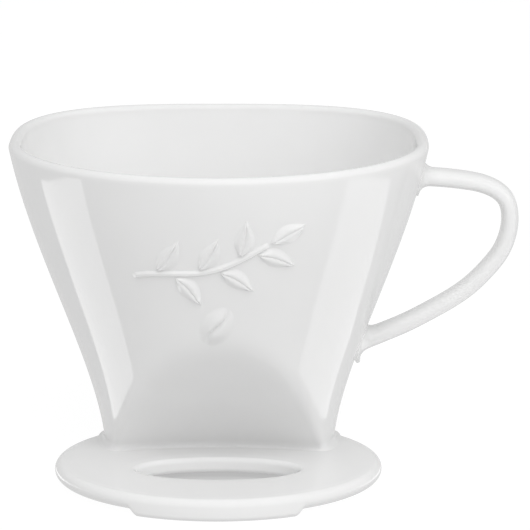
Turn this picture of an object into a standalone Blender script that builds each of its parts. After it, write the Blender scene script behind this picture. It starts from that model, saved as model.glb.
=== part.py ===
"""Pour over dripper: a glazed porcelain funnel with a loop handle on a round base plate with a view window.

Frame: origin on the funnel's axis at the underside of the base plate, +X towards the handle,
the window and the arch-shaped flat at the front (-Y), +Z up. Metres.
"""

import math

import bmesh
import bpy
from mathutils import Vector

# Joints between pieces that touch
CLEARANCE = 0.0003

# Funnel: half widths and heights of the four control points of its side profile
BASE_HALF_WIDTH = 0.0356
RIM_HALF_WIDTH = 0.0644
RIM_HEIGHT = 0.0991
LOWER_BULGE = 0.0025
LOWER_REACH = 0.025
UPPER_BULGE = 0.0068
UPPER_REACH = 0.0335
DEPTH_RATIO = 1.0
ROUNDNESS = 2.0
REAR_RIM_SQUARENESS = 2.9
WALL = 0.0038
WEDGE_WALL = 0.0052

# Arch-shaped cuts that give the funnel its narrow floor
FRONT_DEPTH = 0.0100
REAR_DEPTH = 0.0090
WEDGE_SLOPE = 0.945
SCOOP = 4.8
SCOOP_HEIGHT = 0.051
CUT_SOFTNESS = 0.003

# Ribs on the lower inside wall
RIB_COUNT = 24
RIB_HEIGHT = 0.0011
RIB_TOP = 0.048

# Base plate, window and drip holes
PLATE_RADIUS = 0.0498
PLATE_THICKNESS = 0.0048
PLATE_OFFSET = 0.0264
WINDOW_HALF_WIDTH = 0.0245
WINDOW_HALF_DEPTH = 0.0124
WINDOW_FROM_CENTRE = 0.0112
DRIP_HOLE_RADIUS = 0.0018
DRIP_HOLE_SPACING = 0.0220

# The plate's underside is cut back by this much outside the carafe seat, where the feet join it
SEAT_STEP = 0.0003
SEAT_INSET = 0.0067

# Feet under the plate
FOOT_HEIGHT = 0.0018
FOOT_INSET = 0.0010
FOOT_HALF_LENGTH = 0.0265

# Handle: a strap, thicker at its two roots
HANDLE_BEYOND_RIM = 0.0251
HANDLE_BELOW_RIM = 0.0115
HANDLE_BOTTOM = 0.0350
HANDLE_THICKNESS = 0.0057
HANDLE_WIDTH = 0.0110
ROOT_FLARE = 0.0042
ROOT_LENGTH = 0.010

# Raised sprig on the front of the funnel
RELIEF_HEIGHT = 0.0010
RELIEF_EDGE = 0.0004
STEM_HALF_WIDTH = 0.0009
SPRIG_BELOW_RIM = 0.0266
SPRIG_HALF_LENGTH = 0.0250
SPRIG_RISE = 0.0095
LEAF_LENGTH = 0.0125
LEAF_HALF_WIDTH = 0.0034
BEAN_BELOW_SPRIG = 0.0210
BEAN_LENGTH = 0.0150
BEAN_HALF_WIDTH = 0.0052

# Mesh resolution
AROUND = 96
WALL_LEVELS = 13

FLOOR = PLATE_THICKNESS + CLEARANCE
PLATE_CENTRE = Vector((0.0, -PLATE_OFFSET, 0.0))
SEAT_RADIUS = PLATE_RADIUS - SEAT_INSET
HANDLE_REACH = RIM_HALF_WIDTH + HANDLE_BEYOND_RIM
HANDLE_TOP = RIM_HEIGHT - HANDLE_BELOW_RIM
SPRIG_HEIGHT = RIM_HEIGHT - SPRIG_BELOW_RIM
BEAN_HEIGHT = SPRIG_HEIGHT - BEAN_BELOW_SPRIG


def clear_scene():
    for item in list(bpy.data.objects):
        bpy.data.objects.remove(item)


def new_collection(name):
    group = bpy.data.collections.new(name)
    bpy.context.scene.collection.children.link(group)
    return group


def glaze(name, colour, roughness):
    material = bpy.data.materials.new(name)
    material.use_nodes = True
    shader = material.node_tree.nodes["Principled BSDF"]
    shader.inputs["Base Color"].default_value = (*colour, 1.0)
    shader.inputs["Roughness"].default_value = roughness
    shader.inputs["Metallic"].default_value = 0.0
    return material


def add_mesh(name, verts, faces, group, material=None):
    mesh = bpy.data.meshes.new(name)
    mesh.from_pydata([tuple(v) for v in verts], [], faces)
    work = bmesh.new()
    work.from_mesh(mesh)
    bmesh.ops.recalc_face_normals(work, faces=work.faces)
    work.to_mesh(mesh)
    work.free()
    item = bpy.data.objects.new(name, mesh)
    group.objects.link(item)
    if material:
        mesh.materials.append(material)
    mesh.shade_smooth()
    mesh.set_sharp_from_angle(angle=math.radians(35))
    return item


def make_cutter(item):
    item.hide_render = True
    item.display_type = "WIRE"
    return item


def cut(item, cutter):
    step = item.modifiers.new("cut " + cutter.name, "BOOLEAN")
    step.operation = "DIFFERENCE"
    step.solver = "EXACT"
    step.object = cutter


def bridge(rings, close_ends):
    """Quads between neighbouring rings of equal length; the ends become single faces if asked."""
    count = len(rings[0])
    verts = [point for ring in rings for point in ring]
    faces = []
    for level in range(len(rings) - 1):
        for k in range(count):
            after = (k + 1) % count
            low = level * count
            high = low + count
            faces.append((low + k, low + after, high + after, high + k))
    if close_ends:
        faces.append(tuple(reversed(range(count))))
        last = (len(rings) - 1) * count
        faces.append(tuple(range(last, last + count)))
    return verts, faces


# --- the funnel's form ---------------------------------------------------------------------


def side_profile(t):
    """Half width and height of the outside, from the floor (t = 0) to the lip's shoulder (t = 1)."""
    shoulder = RIM_HEIGHT - WALL / 2
    ends = (BASE_HALF_WIDTH, RIM_HALF_WIDTH)
    widths = (ends[0], ends[0] + LOWER_BULGE, ends[1] - UPPER_BULGE, ends[1])
    heights = (FLOOR, FLOOR + LOWER_REACH, shoulder - UPPER_REACH, shoulder)
    s = 1 - t
    weights = (s * s * s, 3 * s * s * t, 3 * s * t * t, t * t * t)
    half_width = sum(w * v for w, v in zip(weights, widths))
    height = sum(w * v for w, v in zip(weights, heights))
    return half_width, height


def level_at(height):
    """The t of side_profile at a height."""
    low, high = 0.0, 1.0
    for _ in range(40):
        middle = (low + high) / 2
        if side_profile(middle)[1] < height:
            low = middle
        else:
            high = middle
    return (low + high) / 2


def squareness(t, front):
    """The section's exponent: an ellipse at the front, squarer towards the rim at the rear."""
    return ROUNDNESS if front else ROUNDNESS + (REAR_RIM_SQUARENESS - ROUNDNESS) * t


def soft_min(a, b, softness):
    blend = max(softness - abs(a - b), 0.0) / softness
    return min(a, b) - blend * blend * softness / 4


def cut_depth(x, height, start, scooped):
    """How far from the axis an arch-shaped cut lies at x and a height."""
    scoop = SCOOP * max(0.0, 1 - (height - FLOOR) / SCOOP_HEIGHT) if scooped else 0.0
    return start + WEDGE_SLOPE * (height - FLOOR) + scoop * x * x


def wall_point(t, angle, inset, wedge_inset, scooped):
    """A point of the wall at one level, drawn in by the given insets."""
    half_width, height = side_profile(t)
    across = half_width - inset
    deep = half_width * DEPTH_RATIO - inset
    c = math.cos(angle)
    s = math.sin(angle)
    front = s < 0
    power = squareness(t, front)
    radius = ((abs(c) / across) ** power + (abs(s) / deep) ** power) ** (-1 / power)
    x = radius * c
    start = FRONT_DEPTH if front else REAR_DEPTH
    flat = cut_depth(x, height, start - wedge_inset, front and scooped)
    y = soft_min(radius * abs(s), flat, CUT_SOFTNESS)
    return Vector((x, -y if front else y, height))


def wall_ring(t, inset, wedge_inset, scooped=True, ribbed=False):
    angles = [2 * math.pi * k / AROUND for k in range(AROUND)]
    smooth = [wall_point(t, angle, inset, wedge_inset, scooped) for angle in angles]
    if not ribbed:
        return smooth
    ring = []
    for k, point in enumerate(smooth):
        along = smooth[(k + 1) % AROUND] - smooth[k - 1]
        inward = Vector((-along.y, along.x, 0.0)).normalized()
        on_rib = k % (AROUND // RIB_COUNT) in (1, 2)
        ring.append(point + inward * RIB_HEIGHT if on_rib else point)
    return ring


def lip_rings(outer, inner, steps):
    """Rings over the full-round lip, between the top outer ring and the top inner ring."""
    rings = []
    for step in range(1, steps):
        turn = math.pi * step / steps
        ring = []
        for a, b in zip(outer, inner):
            middle = (a + b) / 2
            half = (a - b) / 2
            point = middle + half * math.cos(turn)
            point.z += WALL / 2 * math.sin(turn)
            ring.append(point)
        rings.append(ring)
    return rings


def make_funnel(group, material):
    levels = [k / WALL_LEVELS for k in range(WALL_LEVELS + 1)]
    outer = [wall_ring(t, 0.0, 0.0) for t in levels]
    rib_end = level_at(RIB_TOP)
    lower = [k * rib_end / (WALL_LEVELS // 2) for k in range(WALL_LEVELS // 2)]
    inner = [wall_ring(t, WALL, WEDGE_WALL, scooped=False, ribbed=True) for t in lower]
    upper = [rib_end + k * (1 - rib_end) / (WALL_LEVELS // 2) for k in range(WALL_LEVELS // 2 + 1)]
    inner += [wall_ring(t, WALL, WEDGE_WALL, scooped=False) for t in upper]
    rings = outer + lip_rings(outer[-1], inner[-1], 6) + inner[::-1]
    rings.append(outer[0])
    verts, faces = bridge(rings[:-1], close_ends=False)
    count = AROUND
    last = (len(rings) - 2) * count
    for k in range(count):
        after = (k + 1) % count
        faces.append((last + k, last + after, after, k))
    return add_mesh("funnel", verts, faces, group, material)


def make_funnel_clearance(group):
    """The funnel's outside, filled and grown by the clearance, which trims the pieces that meet it."""
    levels = [k / WALL_LEVELS for k in range(WALL_LEVELS + 1)]
    rings = [wall_ring(t, -CLEARANCE, -CLEARANCE) for t in levels]
    verts, faces = bridge(rings, close_ends=True)
    return make_cutter(add_mesh("funnel_clearance", verts, faces, group))


# --- base plate and feet -------------------------------------------------------------------


def turned(name, profile, group, material):
    """A profile of (radius, height) points turned about the vertical axis."""
    mesh = bpy.data.meshes.new(name)
    edges = [(k, k + 1) for k in range(len(profile) - 1)]
    mesh.from_pydata([(r, 0.0, z) for r, z in profile], edges, [])
    item = bpy.data.objects.new(name, mesh)
    group.objects.link(item)
    mesh.materials.append(material)
    turn = item.modifiers.new("turn", "SCREW")
    turn.steps = AROUND
    turn.render_steps = AROUND
    turn.use_merge_vertices = True
    turn.merge_threshold = 0.00001
    turn.use_smooth_shade = True
    return item


def cylinder_cutter(name, half_width, half_depth, centre, height, segments, group):
    work = bmesh.new()
    bmesh.ops.create_cone(
        work, cap_ends=True, segments=segments, radius1=1.0, radius2=1.0, depth=1.0
    )
    bmesh.ops.scale(work, vec=(half_width, half_depth, height), verts=work.verts)
    bmesh.ops.translate(work, vec=centre, verts=work.verts)
    mesh = bpy.data.meshes.new(name)
    work.to_mesh(mesh)
    work.free()
    item = bpy.data.objects.new(name, mesh)
    group.objects.link(item)
    return make_cutter(item)


def make_base_plate(group, cutters, material):
    edge = (PLATE_THICKNESS - SEAT_STEP) / 2
    middle = SEAT_STEP + edge
    rounded = []
    for step in range(9):
        turn = math.pi / 2 - math.pi * step / 8
        rounded.append((PLATE_RADIUS - edge + edge * math.cos(turn), middle + edge * math.sin(turn)))
    underside = [(SEAT_RADIUS, SEAT_STEP), (SEAT_RADIUS, 0.0), (0.0, 0.0)]
    profile = [(0.0, PLATE_THICKNESS), *rounded, *underside]
    plate = turned("base_plate", profile, group, material)
    plate.location = PLATE_CENTRE
    tall = PLATE_THICKNESS * 3
    window_centre = (0.0, -PLATE_OFFSET - WINDOW_FROM_CENTRE, middle)
    window = cylinder_cutter(
        "window_cutter", WINDOW_HALF_WIDTH, WINDOW_HALF_DEPTH, window_centre, tall, 48, cutters
    )
    cut(plate, window)
    for side in (-1, 1):
        centre = (side * DRIP_HOLE_SPACING / 2, 0.0, middle)
        hole = cylinder_cutter(
            "drip_hole_cutter", DRIP_HOLE_RADIUS, DRIP_HOLE_RADIUS, centre, tall, 16, cutters
        )
        cut(plate, hole)
    return plate


def make_foot(name, side, group, material):
    """A low arc under the plate's edge; side is -1 at the front and +1 at the rear."""
    outer = PLATE_RADIUS - FOOT_INSET
    inner = SEAT_RADIUS + CLEARANCE
    half_angle = math.asin(FOOT_HALF_LENGTH / outer)
    steps = 14
    sweep = [side * (math.pi / 2 - half_angle + 2 * half_angle * k / steps) for k in range(steps + 1)]
    outline = [(outer * math.cos(a), outer * math.sin(a)) for a in sweep]
    outline += [(inner * math.cos(a), inner * math.sin(a)) for a in reversed(sweep)]
    curve = bpy.data.curves.new(name, "CURVE")
    curve.dimensions = "2D"
    curve.fill_mode = "BOTH"
    curve.extrude = FOOT_HEIGHT / 2
    spline = curve.splines.new("POLY")
    spline.points.add(len(outline) - 1)
    for point, (x, y) in zip(spline.points, outline):
        point.co = (x, y, 0.0, 1.0)
    spline.use_cyclic_u = True
    curve.materials.append(material)
    foot = bpy.data.objects.new(name, curve)
    foot.location = PLATE_CENTRE + Vector((0.0, 0.0, -FOOT_HEIGHT / 2))
    group.objects.link(foot)
    return foot


# --- handle --------------------------------------------------------------------------------


def catmull(points, parts):
    """A smooth curve through all the points."""
    closed = [points[0] * 2 - points[1], *points, points[-1] * 2 - points[-2]]
    curve = []
    for a, b, c, d in zip(closed, closed[1:], closed[2:], closed[3:]):
        for k in range(parts):
            t = k / parts
            curve.append(
                (b * 2 + (c - a) * t + (a * 2 - b * 5 + c * 4 - d) * t * t
                 + (b * 3 - a - c * 3 + d) * t * t * t) / 2
            )
    curve.append(points[-1])
    return curve


def handle_route():
    """The strap's centre line, from inside the upper wall round to inside the lower wall."""
    upper = side_profile(level_at(HANDLE_TOP))[0]
    lower = side_profile(level_at(HANDLE_BOTTOM))[0]
    reach = HANDLE_REACH
    drop = HANDLE_TOP - HANDLE_BOTTOM
    points = [
        (upper - 0.006, HANDLE_TOP),
        (upper + 0.003, HANDLE_TOP),
        (reach - 0.0152, HANDLE_TOP - drop * 0.0171),
        (reach - 0.0092, HANDLE_TOP - drop * 0.0456),
        (reach - 0.0044, HANDLE_TOP - drop * 0.0894),
        (reach - 0.0014, HANDLE_TOP - drop * 0.1483),
        (reach, HANDLE_TOP - drop * 0.2490),
        (reach - 0.0007, HANDLE_TOP - drop * 0.3422),
        (reach - 0.0034, HANDLE_TOP - drop * 0.4639),
        (reach - 0.0108, HANDLE_TOP - drop * 0.6236),
        (reach - 0.0167, HANDLE_TOP - drop * 0.7110),
        ((reach + lower) / 2, HANDLE_BOTTOM + drop * 0.217),
        (lower + 0.0142, HANDLE_BOTTOM + 0.0067),
        (lower + 0.0069, HANDLE_BOTTOM + 0.0036),
        (lower - 0.006, HANDLE_BOTTOM - 0.0012),
    ]
    return catmull([Vector((x, 0.0, z)) for x, z in points], 3)


def make_handle(group, material, funnel_clearance):
    route = handle_route()
    lengths = [0.0]
    for a, b in zip(route, route[1:]):
        lengths.append(lengths[-1] + (b - a).length)
    sides = 16
    rings = []
    for k, point in enumerate(route):
        before = route[max(k - 1, 0)]
        after = route[min(k + 1, len(route) - 1)]
        along = (after - before).normalized()
        outward = Vector((-along.z, 0.0, along.x))
        to_end = min(lengths[k], lengths[-1] - lengths[k]) - 0.006
        flare = ROOT_FLARE * max(0.0, 1 - max(to_end, 0.0) / ROOT_LENGTH) ** 2
        half_thick = HANDLE_THICKNESS / 2 + flare / 2
        half_wide = HANDLE_WIDTH / 2 + flare / 2
        ring = []
        for step in range(sides):
            turn = 2 * math.pi * step / sides
            c = math.cos(turn)
            s = math.sin(turn)
            round_c = math.copysign(abs(c) ** 0.85, c)
            round_s = math.copysign(abs(s) ** 0.85, s)
            offset = outward * (half_thick * round_c) + Vector((0.0, half_wide * round_s, 0.0))
            ring.append(point + offset)
        rings.append(ring)
    verts, faces = bridge(rings, close_ends=True)
    handle = add_mesh("handle", verts, faces, group, material)
    cut(handle, funnel_clearance)
    return handle


# --- raised sprig --------------------------------------------------------------------------


def on_front(x, z, lift):
    """The point of the funnel's front at x and z, lifted off the surface by the given height."""
    t = level_at(z)
    half_width = side_profile(t)[0]
    deep = half_width * DEPTH_RATIO
    power = squareness(t, front=True)
    rounded = deep * (1 - (abs(x) / half_width) ** power) ** (1 / power)
    y = soft_min(rounded, cut_depth(x, z, FRONT_DEPTH, True), CUT_SOFTNESS)
    return Vector((x, -y - lift, z))


def make_patch(name, centre_line, half_widths, height, group, material):
    """A low crowned pad that lies on the funnel's front along a centre line of (x, z) points."""
    across = 6
    top = []
    bottom = []
    for k, point in enumerate(centre_line):
        before = centre_line[max(k - 1, 0)]
        after = centre_line[min(k + 1, len(centre_line) - 1)]
        along = (after - before).normalized()
        normal = Vector((-along.y, along.x))
        upper_row = []
        lower_row = []
        for step in range(across + 1):
            v = 2 * step / across - 1
            spot = point + normal * (v * half_widths[k])
            crown = RELIEF_EDGE + (height - RELIEF_EDGE) * (1 - v * v)
            upper_row.append(on_front(spot.x, spot.y, CLEARANCE + crown))
            lower_row.append(on_front(spot.x, spot.y, CLEARANCE))
        top.append(upper_row)
        bottom.append(lower_row)
    loops = [upper + lower[::-1] for upper, lower in zip(top, bottom)]
    verts, faces = bridge(loops, close_ends=True)
    return add_mesh(name, verts, faces, group, material)


def leaf_widths(half_width, steps):
    return [max(half_width * math.sin(math.pi * k / steps) ** 1.2, 0.0003) for k in range(steps + 1)]


def stem_point(s):
    """The stem's centre line for s from -1 (left) to +1 (right), as (x, z)."""
    z = SPRIG_HEIGHT + SPRIG_RISE * s * 0.8 - 0.0022 * math.cos(math.pi * s)
    return Vector((SPRIG_HALF_LENGTH * s, z))


def make_sprig(group, material):
    steps = 16
    stem = [stem_point(-1 + 1.62 * k / steps) for k in range(steps + 1)]
    make_patch("sprig_stem", stem, [STEM_HALF_WIDTH] * len(stem), RELIEF_HEIGHT * 0.8, group, material)
    leaves = [(-0.72, 1), (-0.50, -1), (-0.22, 1), (0.02, -1), (0.28, 1), (0.46, -1)]
    for number, (s, side) in enumerate(leaves, 1):
        root = stem_point(s)
        along = (stem_point(s + 0.02) - root).normalized()
        normal = Vector((-along.y, along.x)) * side
        heading = (along * 0.62 + normal * 0.78).normalized()
        start = root + normal * (STEM_HALF_WIDTH + CLEARANCE * 3)
        count = 8
        line = []
        for k in range(count + 1):
            u = k / count
            bend = normal * (-0.0012 * math.sin(math.pi * u))
            line.append(start + heading * (LEAF_LENGTH * u) + bend)
        make_patch(
            f"sprig_leaf_{number}", line, leaf_widths(LEAF_HALF_WIDTH, count), RELIEF_HEIGHT, group, material
        )
    tip = stem_point(-1 + 1.62) + Vector((0.0008, 0.0003))
    aim = (stem_point(0.72) - stem_point(0.62)).normalized()
    line = [tip + aim * (LEAF_LENGTH * k / 8) for k in range(9)]
    make_patch("sprig_leaf_7", line, leaf_widths(LEAF_HALF_WIDTH, 8), RELIEF_HEIGHT, group, material)


def make_bean(group, material):
    """A coffee bean seen from its flat side: two halves either side of a curved groove."""
    steps = 10
    tilt = math.radians(62)
    along = Vector((math.cos(tilt), math.sin(tilt)))
    normal = Vector((-along.y, along.x))
    for name, side in (("bean_upper_half", 1), ("bean_lower_half", -1)):
        line = []
        widths = []
        for k in range(steps + 1):
            u = k / steps
            swell = math.sin(math.pi * (0.04 + 0.92 * u)) ** 0.6
            groove = 0.0005 * math.sin(2 * math.pi * u)
            inner = groove + side * 0.00035
            outer = side * BEAN_HALF_WIDTH * swell
            middle = Vector((0.0, BEAN_HEIGHT)) + along * (BEAN_LENGTH * (u - 0.5))
            line.append(middle + normal * ((inner + outer) / 2))
            widths.append(abs(outer - inner) / 2)
        make_patch(name, line, widths, RELIEF_HEIGHT, group, material)


def main():
    clear_scene()
    dripper = new_collection("pour_over_dripper")
    cutters = new_collection("cutters")
    white = (0.80, 0.79, 0.77)
    body_glaze = glaze("funnel_glaze", white, 0.08)
    plate_glaze = glaze("plate_glaze", white, 0.08)
    handle_glaze = glaze("handle_glaze", white, 0.08)
    foot_glaze = glaze("foot_glaze", white, 0.12)
    relief_glaze = glaze("relief_glaze", white, 0.10)
    make_funnel(dripper, body_glaze)
    funnel_clearance = make_funnel_clearance(cutters)
    make_base_plate(dripper, cutters, plate_glaze)
    make_foot("front_foot", -1, dripper, foot_glaze)
    make_foot("rear_foot", 1, dripper, foot_glaze)
    make_handle(dripper, handle_glaze, funnel_clearance)
    make_sprig(dripper, relief_glaze)
    make_bean(dripper, relief_glaze)


main()
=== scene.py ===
"""A glazed porcelain pour over dripper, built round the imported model.

Metres, +Z up, window at the front (-Y), handle towards +X.
"""
import math

import bmesh
import bpy
import numpy as np
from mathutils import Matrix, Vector


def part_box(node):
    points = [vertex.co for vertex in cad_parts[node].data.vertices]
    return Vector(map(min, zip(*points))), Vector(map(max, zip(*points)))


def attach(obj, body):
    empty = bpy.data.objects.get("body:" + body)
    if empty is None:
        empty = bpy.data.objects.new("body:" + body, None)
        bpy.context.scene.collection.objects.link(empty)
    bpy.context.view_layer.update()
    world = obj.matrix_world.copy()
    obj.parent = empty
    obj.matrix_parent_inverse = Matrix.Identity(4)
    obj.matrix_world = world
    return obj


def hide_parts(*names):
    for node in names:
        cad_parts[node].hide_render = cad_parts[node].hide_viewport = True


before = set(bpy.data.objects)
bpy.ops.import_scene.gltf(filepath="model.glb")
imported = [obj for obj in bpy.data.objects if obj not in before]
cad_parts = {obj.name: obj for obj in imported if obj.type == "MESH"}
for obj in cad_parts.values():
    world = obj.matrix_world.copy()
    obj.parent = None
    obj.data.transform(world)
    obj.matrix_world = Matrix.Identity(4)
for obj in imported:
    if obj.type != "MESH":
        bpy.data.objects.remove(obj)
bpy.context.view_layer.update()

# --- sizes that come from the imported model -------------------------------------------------

funnel_low, funnel_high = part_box("funnel")
plate_low, plate_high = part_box("base_plate")
foot_low, foot_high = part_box("front_foot")
handle_low, handle_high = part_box("handle")
RIM_HALF_WIDTH = funnel_high.x
RIM_HEIGHT = funnel_high.z
DEPTH_RATIO = funnel_high.y / funnel_high.x
PLATE_TOP = plate_high.z
PLATE_RADIUS = (plate_high.x - plate_low.x) / 2
PLATE_CENTRE_Y = (plate_high.y + plate_low.y) / 2
FOOT_BOTTOM = foot_low.z
FOOT_HALF_LENGTH = foot_high.x
HANDLE_WIDTH = 0.0110
HANDLE_THICKNESS = 0.0053
HANDLE_MARGIN = 0.0001
HANDLE_REACH = handle_high.x - HANDLE_THICKNESS / 2 - HANDLE_MARGIN
HANDLE_TOP = 0.0876
HANDLE_BOTTOM = 0.0350

# --- the form between them -----------------------------------------------------------------

FLOOR = PLATE_TOP + 0.0003
WALL = 0.0038
WEDGE_WALL = 0.0052
BASE_HALF_WIDTH = 0.0356
LOWER_BULGE = 0.0025
LOWER_REACH = 0.025
UPPER_BULGE = 0.0068
UPPER_REACH = 0.0335
ROUNDNESS = 2.0
REAR_RIM_SQUARENESS = 2.9
FRONT_DEPTH = 0.0100
REAR_DEPTH = 0.0090
WEDGE_SLOPE = 0.945
SCOOP = 4.8
SCOOP_HEIGHT = 0.051
CUT_SOFTNESS = 0.0030
FOOT_FILLET = 0.0022
RIB_COUNT = 24
RIB_HEIGHT = 0.0011
RIB_HALF_ANGLE = math.radians(2.6)
RIB_TOP = 0.048
WINDOW_HALF_WIDTH = 0.0245
WINDOW_HALF_DEPTH = 0.0124
WINDOW_FROM_CENTRE = 0.0112
WINDOW_EDGE = 0.0016
DRIP_HOLE_RADIUS = 0.0018
DRIP_HOLE_SPACING = 0.0220
FOOT_WIDTH = 0.0056
HANDLE_SWELL = 0.06
ROOT_FILLET = 0.0032
ROOT_DEPTH = 0.0020

AROUND = 480


# --- meshes --------------------------------------------------------------------------------


def mesh_object(name, verts, faces, sharp_degrees=40):
    mesh = bpy.data.meshes.new(name)
    mesh.from_pydata([tuple(v) for v in verts], [], faces)
    work = bmesh.new()
    work.from_mesh(mesh)
    bmesh.ops.recalc_face_normals(work, faces=work.faces)
    work.to_mesh(mesh)
    work.free()
    mesh.shade_smooth()
    mesh.set_sharp_from_angle(angle=math.radians(sharp_degrees))
    item = bpy.data.objects.new(name, mesh)
    bpy.context.scene.collection.objects.link(item)
    return item


def ring_faces(levels, count, wrap):
    """Quads between neighbouring rings; with wrap, the last ring joins the first."""
    faces = []
    for level in range(levels if wrap else levels - 1):
        low = level * count
        high = (level + 1) % levels * count
        for k in range(count):
            after = (k + 1) % count
            faces.append((low + k, low + after, high + after, high + k))
    return faces


def smooth_step(x):
    x = np.clip(x, 0.0, 1.0)
    return x * x * (3 - 2 * x)


# --- the funnel ----------------------------------------------------------------------------

SHOULDER = RIM_HEIGHT - WALL / 2
TABLE_T = np.linspace(0.0, 1.0, 2001)


def side_profile(t):
    widths = (BASE_HALF_WIDTH, BASE_HALF_WIDTH + LOWER_BULGE, RIM_HALF_WIDTH - UPPER_BULGE, RIM_HALF_WIDTH)
    heights = (FLOOR, FLOOR + LOWER_REACH, SHOULDER - UPPER_REACH, SHOULDER)
    s = 1 - t
    weights = (s**3, 3 * s * s * t, 3 * s * t * t, t**3)
    half_width = sum(w * v for w, v in zip(weights, widths))
    height = sum(w * v for w, v in zip(weights, heights))
    return half_width, height


TABLE_WIDTH, TABLE_HEIGHT = side_profile(TABLE_T)


def half_width_at(z):
    return np.interp(z, TABLE_HEIGHT, TABLE_WIDTH)


def squareness_at(z, front):
    """The section's exponent: an ellipse at the front, squarer towards the rim at the rear."""
    rise = np.interp(z, TABLE_HEIGHT, TABLE_T)
    return np.where(front, ROUNDNESS, ROUNDNESS + (REAR_RIM_SQUARENESS - ROUNDNESS) * rise)


def soft_min(a, b, softness):
    blend = np.maximum(softness - np.abs(a - b), 0.0) / softness
    return np.minimum(a, b) - blend * blend * softness / 4


def cut_depth(x, z, start, scooped):
    """How far from the axis an arch-shaped cut lies at x and z."""
    lift = np.maximum(z - FLOOR, 0.0)
    scoop = np.where(scooped, SCOOP * np.maximum(0.0, 1 - lift / SCOOP_HEIGHT), 0.0)
    return start + WEDGE_SLOPE * lift + scoop * x * x


def section(z, inset=0.0, wedge_inset=0.0, scooped=True):
    """The wall's outline at a height, as x and y arrays round the axis."""
    angle = np.arange(AROUND) * 2 * math.pi / AROUND
    c = np.cos(angle)
    s = np.sin(angle)
    half_width = half_width_at(z)
    across = half_width - inset
    deep = half_width * DEPTH_RATIO - inset
    front = s < 0
    power = squareness_at(z, front)
    radius = ((np.abs(c) / across) ** power + (np.abs(s) / deep) ** power) ** (-1 / power)
    x = radius * c
    start = np.where(front, FRONT_DEPTH, REAR_DEPTH) - wedge_inset
    flat = cut_depth(x, z, start, front & scooped)
    y = soft_min(radius * np.abs(s), flat, CUT_SOFTNESS)
    return x, np.where(front, -y, y)


def outward(x, y):
    dx = np.roll(x, -1) - np.roll(x, 1)
    dy = np.roll(y, -1) - np.roll(y, 1)
    length = np.hypot(dx, dy)
    return dy / length, -dx / length


def ring(x, y, z):
    return np.stack([x, y, np.broadcast_to(z, x.shape)], axis=1)


def outer_ring(z):
    """The outside at a height, with the fillet that runs out onto the plate."""
    x, y = section(max(z, FLOOR))
    rise = z - PLATE_TOP
    if rise < FOOT_FILLET:
        spread = FOOT_FILLET - math.sqrt(max(FOOT_FILLET**2 - (FOOT_FILLET - rise) ** 2, 0.0))
        nx, ny = outward(x, y)
        x = x + nx * spread
        y = y + ny * spread
    return ring(x, y, z)


def inner_ring(z):
    """The inside at a height, with the ribs on its lower part."""
    x, y = section(z, WALL, WEDGE_WALL, scooped=False)
    angle = np.degrees(np.arange(AROUND) * 2 * math.pi / AROUND)
    pitch = 360 / RIB_COUNT
    off_centre = np.abs((angle - pitch * 0.375 + pitch / 2) % pitch - pitch / 2)
    rib = smooth_step(1.5 - off_centre / math.degrees(RIB_HALF_ANGLE))
    fade = smooth_step((RIB_TOP - z) / 0.008)
    nx, ny = outward(x, y)
    return ring(x - nx * rib * fade * RIB_HEIGHT, y - ny * rib * fade * RIB_HEIGHT, z)


def make_funnel():
    turns = np.linspace(0.0, math.pi / 2, 13)
    fillet_levels = PLATE_TOP + FOOT_FILLET * (1 - np.cos(turns))
    wall_levels = np.linspace(PLATE_TOP + FOOT_FILLET, SHOULDER, 90)[1:]
    outside = [outer_ring(z) for z in [*fillet_levels, *wall_levels]]
    inside_levels = [*np.linspace(SHOULDER, RIB_TOP, 40), *np.linspace(RIB_TOP, FLOOR, 44)[1:]]
    inside = [inner_ring(z) for z in inside_levels]
    lip = []
    for turn in np.linspace(0.0, math.pi, 21)[1:-1]:
        middle = (outside[-1] + inside[0]) / 2
        half = (outside[-1] - inside[0]) / 2
        arc = middle + half * math.cos(turn)
        arc[:, 2] += WALL / 2 * math.sin(turn)
        lip.append(arc)
    hem = 0.0004
    low_inside = inside[-1].copy()
    low_inside[:, 2] = PLATE_TOP - hem
    low_outside = outside[0].copy()
    low_outside[:, 2] = PLATE_TOP - hem
    rings = [low_outside, *outside, *lip, *inside, low_inside]
    verts = np.concatenate(rings)
    return mesh_object("porcelain_funnel", verts, ring_faces(len(rings), AROUND, wrap=True))


# --- base plate with its feet --------------------------------------------------------------

PLATE_AROUND = 720


def window_ring(gap, z):
    """The window's outline, moved away from the hole by a gap."""
    turn = np.arange(PLATE_AROUND) * 2 * math.pi / PLATE_AROUND
    nx = np.cos(turn) / WINDOW_HALF_WIDTH
    ny = np.sin(turn) / WINDOW_HALF_DEPTH
    length = np.hypot(nx, ny)
    x = WINDOW_HALF_WIDTH * np.cos(turn) + gap * nx / length
    y = WINDOW_HALF_DEPTH * np.sin(turn) + gap * ny / length
    return ring(x, y + PLATE_CENTRE_Y - WINDOW_FROM_CENTRE, z)


def plate_ring(radius, z):
    turn = np.arange(PLATE_AROUND) * 2 * math.pi / PLATE_AROUND
    return ring(radius * np.cos(turn), PLATE_CENTRE_Y + radius * np.sin(turn), z)


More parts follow.
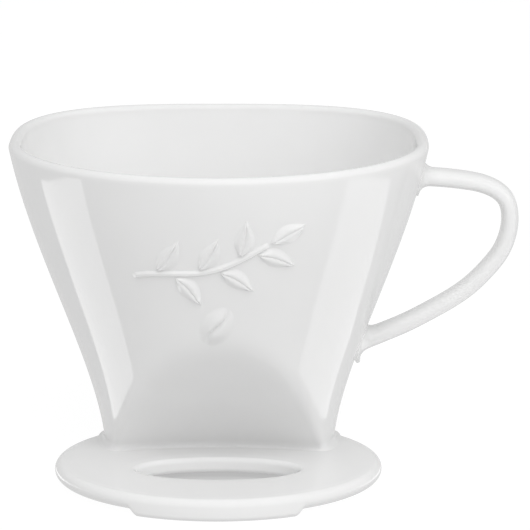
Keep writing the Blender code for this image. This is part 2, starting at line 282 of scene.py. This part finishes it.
def make_base():
    turn = np.arange(PLATE_AROUND) * 2 * math.pi / PLATE_AROUND
    from_foot = np.abs(np.abs((turn - math.pi) % (2 * math.pi) - math.pi) - math.pi / 2)
    foot_end = math.asin(FOOT_HALF_LENGTH / PLATE_RADIUS)
    foot = smooth_step((foot_end + math.radians(0.5) - from_foot) / math.radians(4.0))
    bottom = FOOT_BOTTOM * foot
    edge = PLATE_TOP / 2
    low_edge = edge * (1 - foot) + 0.0016 * foot
    quarter = np.linspace(0.0, math.pi / 2, 11)
    rings = []
    for a in quarter:
        gap = WINDOW_EDGE * (1 - math.cos(a))
        rings.append(window_ring(gap, PLATE_TOP - WINDOW_EDGE * (1 - math.sin(a))))
    inner = window_ring(WINDOW_EDGE, PLATE_TOP)
    outer = plate_ring(PLATE_RADIUS - edge, PLATE_TOP)
    rings += [inner + (outer - inner) * k / 8 for k in range(1, 8)]
    for a in quarter[::-1]:
        radius = PLATE_RADIUS - edge * (1 - math.cos(a))
        rings.append(plate_ring(radius, PLATE_TOP - edge * (1 - math.sin(a))))
    for a in quarter:
        radius = PLATE_RADIUS - low_edge * (1 - math.cos(a))
        rings.append(plate_ring(radius, bottom + low_edge * (1 - math.sin(a))))
    foot_inner = PLATE_RADIUS - FOOT_WIDTH
    round_edge = 0.0010 * foot
    for a in quarter[::2]:
        radius = foot_inner + round_edge * (1 - math.sin(a))
        rings.append(plate_ring(radius, bottom + round_edge * (1 - math.cos(a))))
    for a in quarter[::2]:
        rings.append(plate_ring(foot_inner - round_edge * (1 - math.cos(a)), -round_edge * (1 - math.sin(a))))
    inner = window_ring(WINDOW_EDGE, 0.0)
    outer = rings[-1]
    rings += [outer + (inner - outer) * k / 8 for k in range(1, 8)]
    for a in quarter[::-1]:
        gap = WINDOW_EDGE * (1 - math.cos(a))
        rings.append(window_ring(gap, WINDOW_EDGE * (1 - math.sin(a))))
    verts = np.concatenate(rings)
    base = mesh_object("porcelain_base", verts, ring_faces(len(rings), PLATE_AROUND, wrap=True))
    for side in (-1, 1):
        drill(base, side * DRIP_HOLE_SPACING / 2, 0.0)
    return base


def drill(base, x, y):
    """A drip hole with softened mouths."""
    soft = 0.0006
    mouth = DRIP_HOLE_RADIUS + 2 * soft
    heights = [PLATE_TOP + soft, PLATE_TOP - soft, soft, -soft]
    radii = [mouth, DRIP_HOLE_RADIUS, DRIP_HOLE_RADIUS, mouth]
    count = 48
    verts = []
    for z, r in zip(heights, radii):
        for k in range(count):
            a = 2 * math.pi * k / count
            verts.append((x + r * math.cos(a), y + r * math.sin(a), z))
    faces = ring_faces(4, count, wrap=False)
    faces.append(tuple(range(count)))
    faces.append(tuple(range(4 * count - 1, 3 * count - 1, -1)))
    drill_bit = mesh_object("drill_bit", verts, faces)
    hole = base.modifiers.new("drip hole", "BOOLEAN")
    hole.operation = "DIFFERENCE"
    hole.solver = "EXACT"
    hole.object = drill_bit
    apply_modifiers(base)
    bpy.data.objects.remove(drill_bit)


def apply_modifiers(item):
    graph = bpy.context.evaluated_depsgraph_get()
    made = bpy.data.meshes.new_from_object(item.evaluated_get(graph))
    item.modifiers.clear()
    item.data = made
    made.shade_smooth()
    made.set_sharp_from_angle(angle=math.radians(30))


# --- handle --------------------------------------------------------------------------------


def catmull(points, parts):
    closed = [2 * points[0] - points[1], *points, 2 * points[-1] - points[-2]]
    curve = []
    for a, b, c, d in zip(closed, closed[1:], closed[2:], closed[3:]):
        for k in range(parts):
            t = k / parts
            linear = 2 * b + (c - a) * t
            square = (2 * a - 5 * b + 4 * c - d) * t * t
            cube = (3 * b - a - 3 * c + d) * t**3
            curve.append((linear + square + cube) / 2)
    curve.append(points[-1])
    return np.array(curve)


def even_spacing(route, count):
    steps = np.r_[0.0, np.cumsum(np.linalg.norm(np.diff(route, axis=0), axis=1))]
    want = np.linspace(0.0, steps[-1], count)
    return np.stack([np.interp(want, steps, route[:, k]) for k in range(route.shape[1])], axis=1)


def relax(route, rounds):
    """Evens out the bends of a route without moving its ends."""
    for _ in range(rounds):
        route[1:-1] = route[1:-1] * 0.5 + (route[:-2] + route[2:]) * 0.25
    return route


def handle_route():
    upper = half_width_at(HANDLE_TOP)
    lower = half_width_at(HANDLE_BOTTOM)
    reach = HANDLE_REACH
    drop = HANDLE_TOP - HANDLE_BOTTOM
    points = [
        (upper - 0.0034, HANDLE_TOP),
        (upper + 0.003, HANDLE_TOP),
        (reach - 0.0152, HANDLE_TOP - 0.0009),
        (reach - 0.0086, HANDLE_TOP - 0.0021),
        (reach - 0.0038, HANDLE_TOP - 0.0043),
        (reach - 0.0009, HANDLE_TOP - 0.0074),
        (reach, HANDLE_TOP - 0.0131),
        (reach - 0.0007, HANDLE_TOP - 0.0180),
        (reach - 0.0034, HANDLE_TOP - 0.0244),
        (reach - 0.0108, HANDLE_TOP - 0.0328),
        (reach - 0.0167, HANDLE_TOP - 0.0374),
        ((reach + lower) / 2, HANDLE_BOTTOM + drop * 0.217),
        (lower + 0.0142, HANDLE_BOTTOM + 0.0067),
        (lower + 0.0069, HANDLE_BOTTOM + 0.0036),
        (lower - 0.0030, HANDLE_BOTTOM - 0.0005),
    ]
    route = even_spacing(catmull([np.array(p) for p in points], 24), 260)
    return even_spacing(relax(route, 60), 260)


def outside_distance(points):
    """Roughly how far points near the handle's roots are outside the wall."""
    z = points[:, 2]
    half_width = half_width_at(z)
    away = np.minimum(np.abs(points[:, 1]) / (half_width * DEPTH_RATIO), 0.99)
    side = half_width * (1 - away**ROUNDNESS) ** (1 / ROUNDNESS)
    slope = (half_width_at(z + 0.001) - half_width_at(z - 0.001)) / 0.002
    return (points[:, 0] - side) / np.sqrt(1 + slope * slope)


def make_handle():
    route = handle_route()
    count = 56
    turn = np.arange(count) * 2 * math.pi / count
    squared = 0.80
    across = np.sign(np.cos(turn)) * np.abs(np.cos(turn)) ** squared
    along_y = np.sign(np.sin(turn)) * np.abs(np.sin(turn)) ** squared
    rings = []
    for k in range(len(route)):
        ahead = route[min(k + 1, len(route) - 1)] - route[max(k - 1, 0)]
        ahead = ahead / np.linalg.norm(ahead)
        side = np.array([-ahead[1], ahead[0]])
        fraction = k / (len(route) - 1)
        swell = 1 + HANDLE_SWELL * smooth_step(abs(fraction - 0.5) * 2 - 0.4)
        thick = HANDLE_THICKNESS / 2 * swell
        wide = HANDLE_WIDTH / 2 * swell
        offset = np.stack([side[0] * across * thick, along_y * wide, side[1] * across * thick], axis=1)
        centre = np.array([route[k][0], 0.0, route[k][1]])
        depth = outside_distance(centre + offset)
        near = np.clip(ROOT_FILLET - depth, 0.0, ROOT_FILLET)
        grow = ROOT_FILLET - np.sqrt(np.maximum(ROOT_FILLET**2 - near**2, 0.0))
        length = np.linalg.norm(offset, axis=1)
        points = centre + offset * ((length + grow) / length)[:, None]
        points[:, 0] += np.maximum(-ROOT_DEPTH - outside_distance(points), 0.0) * 1.1
        rings.append(points)
    verts = np.concatenate(rings)
    faces = ring_faces(len(rings), count, wrap=False)
    faces.append(tuple(range(count)))
    faces.append(tuple(range(len(rings) * count - 1, (len(rings) - 1) * count - 1, -1)))
    return mesh_object("porcelain_handle", verts, faces)


# --- raised sprig and bean -----------------------------------------------------------------

RELIEF_HEIGHT = 0.0010
SPRIG_HEIGHT = 0.0725
SPRIG_HALF_LENGTH = 0.0250
SPRIG_RISE = 0.0095
STEM_HALF_WIDTH = 0.0009
LEAF_LENGTH = 0.0125
LEAF_HALF_WIDTH = 0.0034
LEAVES = [(-0.72, 1), (-0.50, -1), (-0.22, 1), (0.02, -1), (0.28, 1), (0.46, -1)]
STEM_LENGTH = 1.62
STEM_WAVE = 0.0022
LEAF_BEND = 0.0012
PAD_SINK = 0.00003
PAD_DEPTH = 0.0004
BEAN_HEIGHT = 0.0515
BEAN_LENGTH = 0.0150
BEAN_HALF_WIDTH = 0.0052


def front_y(x, z):
    """The funnel's front at x and z: the round wall, blended into the arch-shaped flat below it."""
    half_width = half_width_at(z)
    rounded = half_width * DEPTH_RATIO * (1 - (np.abs(x) / half_width) ** ROUNDNESS) ** (1 / ROUNDNESS)
    return -soft_min(rounded, cut_depth(x, z, FRONT_DEPTH, True), CUT_SOFTNESS)


def on_front(x, z, lift):
    """Points of the funnel's front at x and z, lifted along the surface normal."""
    d = 0.0004
    slope_x = (front_y(x + d, z) - front_y(x - d, z)) / (2 * d)
    slope_z = (front_y(x, z + d) - front_y(x, z - d)) / (2 * d)
    length = np.sqrt(1 + slope_x**2 + slope_z**2)
    return np.stack(
        [x + lift * slope_x / length, front_y(x, z) - lift / length, z + lift * slope_z / length], axis=-1
    )


def raised(distance):
    """The height of a soft-edged pad, from 0 at its rim (distance 1) to 1 on its crown."""
    return 0.5 + 0.5 * np.cos(math.pi * np.clip((distance - 0.25) / 0.75, 0.0, 1.0))


def make_pad(name, centre_line, half_widths, height):
    """A low pad on the funnel's front; height(u, v) is its lift at u along and v across it."""
    across = 24
    v = np.linspace(-1.0, 1.0, across + 1)
    count = len(centre_line)
    ahead = np.gradient(centre_line, axis=0)
    ahead /= np.linalg.norm(ahead, axis=1)[:, None]
    side = np.stack([-ahead[:, 1], ahead[:, 0]], axis=1)
    spots = centre_line[:, None, :] + side[:, None, :] * (v[None, :] * half_widths[:, None])[:, :, None]
    u = np.linspace(0.0, 1.0, count)[:, None] * np.ones_like(v)[None, :]
    lift = height(u, np.broadcast_to(v, u.shape))
    top = on_front(spots[:, :, 0], spots[:, :, 1], lift - PAD_SINK)
    under = on_front(spots[:, :, 0], spots[:, :, 1], np.full(u.shape, -PAD_DEPTH))
    rings = np.concatenate([top, under[:, ::-1]], axis=1)
    per_ring = rings.shape[1]
    faces = ring_faces(count, per_ring, wrap=False)
    faces.append(tuple(range(per_ring)))
    faces.append(tuple(range(count * per_ring - 1, (count - 1) * per_ring - 1, -1)))
    return mesh_object(name, rings.reshape(-1, 3), faces, sharp_degrees=50)


def stem_point(s):
    """The stem's centre line for s from -1 (left) to +1 (right), as x and z."""
    height = SPRIG_HEIGHT + SPRIG_RISE * s * 0.8 - STEM_WAVE * math.cos(math.pi * s)
    return np.array([SPRIG_HALF_LENGTH * s, height])


def ends_soft(u, share):
    return smooth_step(u / share) * smooth_step((1 - u) / share)


def make_stem():
    line = np.array([stem_point(-1 + STEM_LENGTH * k / 90) for k in range(91)])
    widths = np.full(91, STEM_HALF_WIDTH * 1.25)

    def height(u, v):
        return RELIEF_HEIGHT * 0.75 * raised(np.abs(v)) * ends_soft(u, 0.03)

    return make_pad("glazed_stem", line, widths, height)


def leaf_height(u, v):
    """A leaf's blade: soft rim, a groove for the midrib and shallow side veins."""
    blade = raised(np.abs(v)) * ends_soft(u, 0.16)
    midrib = 0.34 * np.exp(-((v / 0.10) ** 2))
    veins = 0.07 * (0.5 + 0.5 * np.cos(2 * math.pi * (u * 6.0 - np.abs(v) * 1.6))) * (np.abs(v) > 0.12)
    return RELIEF_HEIGHT * blade * (1 - midrib - veins * (1 - np.abs(v)))


def leaf_shape(root, normal, heading):
    u = np.linspace(0.0, 1.0, 61)
    bend = normal[None, :] * (-LEAF_BEND * np.sin(math.pi * u))[:, None]
    line = root + heading[None, :] * (LEAF_LENGTH * u)[:, None] + bend
    widths = np.maximum(LEAF_HALF_WIDTH * np.sin(math.pi * u) ** 1.2, 0.0002)
    return line, widths


def make_leaves():
    leaves = []
    for number, (s, side) in enumerate(LEAVES, 1):
        root = stem_point(s)
        along = stem_point(s + 0.02) - root
        along /= np.linalg.norm(along)
        normal = np.array([-along[1], along[0]]) * side
        heading = along * 0.62 + normal * 0.78
        heading /= np.linalg.norm(heading)
        start = root + normal * STEM_HALF_WIDTH
        line, widths = leaf_shape(start, normal, heading)
        leaves.append(make_pad(f"glazed_leaf_{number}", line, widths, leaf_height))
    tip = stem_point(-1 + STEM_LENGTH)
    aim = stem_point(0.72) - stem_point(0.62)
    aim /= np.linalg.norm(aim)
    line, widths = leaf_shape(tip, np.zeros(2), aim)
    leaves.append(make_pad(f"glazed_leaf_{len(LEAVES) + 1}", line, widths, leaf_height))
    return leaves


def make_bean():
    tilt = math.radians(62)
    along = np.array([math.cos(tilt), math.sin(tilt)])
    u = np.linspace(0.0, 1.0, 81)
    line = np.array([0.0, BEAN_HEIGHT]) + along[None, :] * (BEAN_LENGTH * (u - 0.5))[:, None]
    widths = BEAN_HALF_WIDTH * np.maximum(1 - (2 * u - 1) ** 2, 0.003) ** 0.5

    def height(u, v):
        reach = np.sqrt(np.minimum((2 * u - 1) ** 2 + (v**2) * (1 - (2 * u - 1) ** 2), 1.0))
        crease = v * np.sqrt(np.maximum(1 - (2 * u - 1) ** 2, 0.003)) - 0.16 * np.sin(2 * math.pi * u)
        groove = 0.75 * np.exp(-((crease / 0.11) ** 2))
        return RELIEF_HEIGHT * 1.1 * raised(reach) * (1 - groove)

    return make_pad("glazed_bean", line, widths, height)


# --- glaze ---------------------------------------------------------------------------------


def make_glaze(name, base, pooled, roughness):
    """White glaze: faint mottling in its colour and gloss, and the slight waviness of a poured coat."""
    material = bpy.data.materials.new(name)
    material.use_nodes = True
    nodes = material.node_tree.nodes
    links = material.node_tree.links
    shader = nodes["Principled BSDF"]
    shader.inputs["IOR"].default_value = 1.52
    place = nodes.new("ShaderNodeTexCoord")

    def noise(scale, detail):
        made = nodes.new("ShaderNodeTexNoise")
        made.inputs["Scale"].default_value = scale
        made.inputs["Detail"].default_value = detail
        links.new(place.outputs["Object"], made.inputs["Vector"])
        return made

    def ramp(source, low, high):
        made = nodes.new("ShaderNodeMapRange")
        made.inputs["To Min"].default_value = low
        made.inputs["To Max"].default_value = high
        made.inputs["From Min"].default_value = 0.3
        made.inputs["From Max"].default_value = 0.7
        links.new(source.outputs["Fac"], made.inputs["Value"])
        return made

    mottle = noise(38.0, 3.0)
    colour = nodes.new("ShaderNodeMix")
    colour.data_type = "RGBA"
    colour.inputs[6].default_value = (*base, 1.0)
    colour.inputs[7].default_value = (*pooled, 1.0)
    links.new(ramp(mottle, 0.0, 1.0).outputs["Result"], colour.inputs[0])
    links.new(colour.outputs[2], shader.inputs["Base Color"])
    gloss = noise(120.0, 2.0)
    links.new(ramp(gloss, roughness * 0.8, roughness * 1.3).outputs["Result"], shader.inputs["Roughness"])
    wave = noise(45.0, 1.0)
    pits = noise(900.0, 2.0)
    broad = nodes.new("ShaderNodeBump")
    broad.inputs["Strength"].default_value = 1.0
    broad.inputs["Distance"].default_value = 0.00008
    links.new(wave.outputs["Fac"], broad.inputs["Height"])
    fine = nodes.new("ShaderNodeBump")
    fine.inputs["Strength"].default_value = 1.0
    fine.inputs["Distance"].default_value = 0.000002
    links.new(pits.outputs["Fac"], fine.inputs["Height"])
    links.new(broad.outputs["Normal"], fine.inputs["Normal"])
    links.new(fine.outputs["Normal"], shader.inputs["Normal"])
    return material


body_glaze = make_glaze("body_glaze", (0.87, 0.87, 0.868), (0.855, 0.855, 0.853), 0.07)
relief_glaze = make_glaze("relief_glaze", (0.87, 0.87, 0.868), (0.84, 0.84, 0.838), 0.09)


def finish_piece(item, slot, material, *nodes_replaced):
    item.data.materials.clear()
    item.data.materials.append(material)
    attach(item, "root")
    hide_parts(*nodes_replaced)


finish_piece(make_funnel(), "body_glaze", body_glaze, "funnel")
finish_piece(make_base(), "body_glaze", body_glaze, "base_plate", "front_foot", "rear_foot")
finish_piece(make_handle(), "body_glaze", body_glaze, "handle")
finish_piece(make_stem(), "relief_glaze", relief_glaze, "sprig_stem")
for number, leaf in enumerate(make_leaves(), 1):
    finish_piece(leaf, "relief_glaze", relief_glaze, f"sprig_leaf_{number}")
finish_piece(make_bean(), "relief_glaze", relief_glaze, "bean_upper_half", "bean_lower_half")

# --- floor, light and camera ---------------------------------------------------------------


def emitting(name, base, strength):
    material = bpy.data.materials.new(name)
    material.use_nodes = True
    shader = material.node_tree.nodes["Principled BSDF"]
    shader.inputs["Base Color"].default_value = (base, base, base, 1.0)
    shader.inputs["Roughness"].default_value = 0.8
    shader.inputs["Specular IOR Level"].default_value = 0.0
    shader.inputs["Emission Color"].default_value = (1.0, 1.0, 1.0, 1.0)
    shader.inputs["Emission Strength"].default_value = strength
    return material


def make_floor():
    size = 6.0
    corners = [(-size, -size), (size, -size), (size, size), (-size, size)]
    floor = mesh_object("floor", [(x, y, FOOT_BOTTOM) for x, y in corners], [(0, 1, 2, 3)])
    floor.data.materials.append(emitting("floor_white", 0.12, 0.92))
    floor.visible_diffuse = False
    floor.visible_glossy = False
    floor.visible_shadow = False
    # Painted shadow: a dim, faintly glowing grey disc under the plate stands in for the table's shade there,
    # seen through the window.
    count = 96
    radius = PLATE_RADIUS * 0.80
    height = FOOT_BOTTOM + 0.0003
    spots = []
    for k in range(count):
        a = 2 * math.pi * k / count
        spots.append((radius * math.cos(a), PLATE_CENTRE_Y + radius * math.sin(a), height))
    under_plate = mesh_object("painted_shadow_disc", spots, [tuple(range(count))])
    under_plate.data.materials.append(emitting("painted_shadow_grey", 0.20, 0.40))


def reflection_card(name, corners, strength):
    """A flat card beside the object that only shows as a gleam in the glaze."""
    card = mesh_object(name, [(x, y, FOOT_BOTTOM + 0.0005) for x, y in corners], [tuple(range(len(corners)))])
    card.data.materials.append(emitting(name, 0.0, strength))
    card.visible_camera = False
    card.visible_diffuse = False
    card.visible_shadow = False
    card.visible_transmission = False


def area_light(name, place, target, width, height, radiance, colour=(1.0, 1.0, 1.0)):
    """A soft box of a given radiance, which only its light shows."""
    data = bpy.data.lights.new(name, "AREA")
    data.shape = "RECTANGLE"
    data.size = width
    data.size_y = height
    data.color = colour
    data.energy = radiance * math.pi * width * height
    light = bpy.data.objects.new(name, data)
    light.location = place
    light.rotation_euler = (Vector(target) - Vector(place)).to_track_quat("-Z", "Y").to_euler()
    light.visible_camera = False
    light.visible_glossy = False
    bpy.context.scene.collection.objects.link(light)
    return light


def make_world(below, above):
    """A light tent: one level from below, a brighter one from above, with a soft change between."""
    world = bpy.data.worlds.new("studio")
    world.use_nodes = True
    nodes = world.node_tree.nodes
    links = world.node_tree.links
    place = nodes.new("ShaderNodeTexCoord")
    parts = nodes.new("ShaderNodeSeparateXYZ")
    level = nodes.new("ShaderNodeMapRange")
    level.interpolation_type = "SMOOTHSTEP"
    level.inputs["From Min"].default_value = -0.25
    level.inputs["From Max"].default_value = 0.25
    level.inputs["To Min"].default_value = below
    level.inputs["To Max"].default_value = above
    nodes["Background"].inputs["Color"].default_value = (1.0, 1.0, 1.0, 1.0)
    links.new(place.outputs["Generated"], parts.inputs["Vector"])
    links.new(parts.outputs["Z"], level.inputs["Value"])
    links.new(level.outputs["Result"], nodes["Background"].inputs["Strength"])
    bpy.context.scene.world = world


def make_camera():
    azimuth = math.radians(0.2)
    elevation = math.radians(12.02)
    distance = 1.4
    aim = Vector((0.01425, -0.0275, 0.0656))
    back = Vector(
        (
            math.sin(azimuth) * math.cos(elevation),
            -math.cos(azimuth) * math.cos(elevation),
            math.sin(elevation),
        )
    )
    data = bpy.data.cameras.new("camera")
    data.sensor_width = 36.0
    data.lens = 3308.5 * distance * data.sensor_width / 530
    data.clip_start = 0.05
    data.clip_end = 30.0
    camera = bpy.data.objects.new("camera", data)
    camera.location = aim + back * distance
    camera.rotation_euler = (-back).to_track_quat("-Z", "Y").to_euler()
    bpy.context.scene.collection.objects.link(camera)
    bpy.context.scene.camera = camera


make_floor()
make_world(0.73, 0.61)
area_light("key", (0.70, -0.78, 0.60), (0.0, 0.0, 0.06), 0.8, 0.8, 1.6)
area_light("fill", (-0.95, -0.30, 0.50), (0.0, 0.0, 0.06), 0.8, 0.8, 0.3)
area_light("overhead", (0.05, -0.75, 1.05), (0.0, 0.0, 0.06), 0.8, 0.8, 2.2)
left_card = [(-0.060, -0.034), (-0.240, -0.066), (-0.240, 0.085), (-0.060, 0.004)]
right_card = [(0.060, -0.040), (0.240, -0.085), (0.240, 0.060), (0.095, 0.036), (0.060, 0.008)]
reflection_card("left_gleam", left_card, 2.2)
reflection_card("right_gleam", right_card, 1.7)
make_camera()
bpy.context.scene.view_settings.view_transform = "Standard"
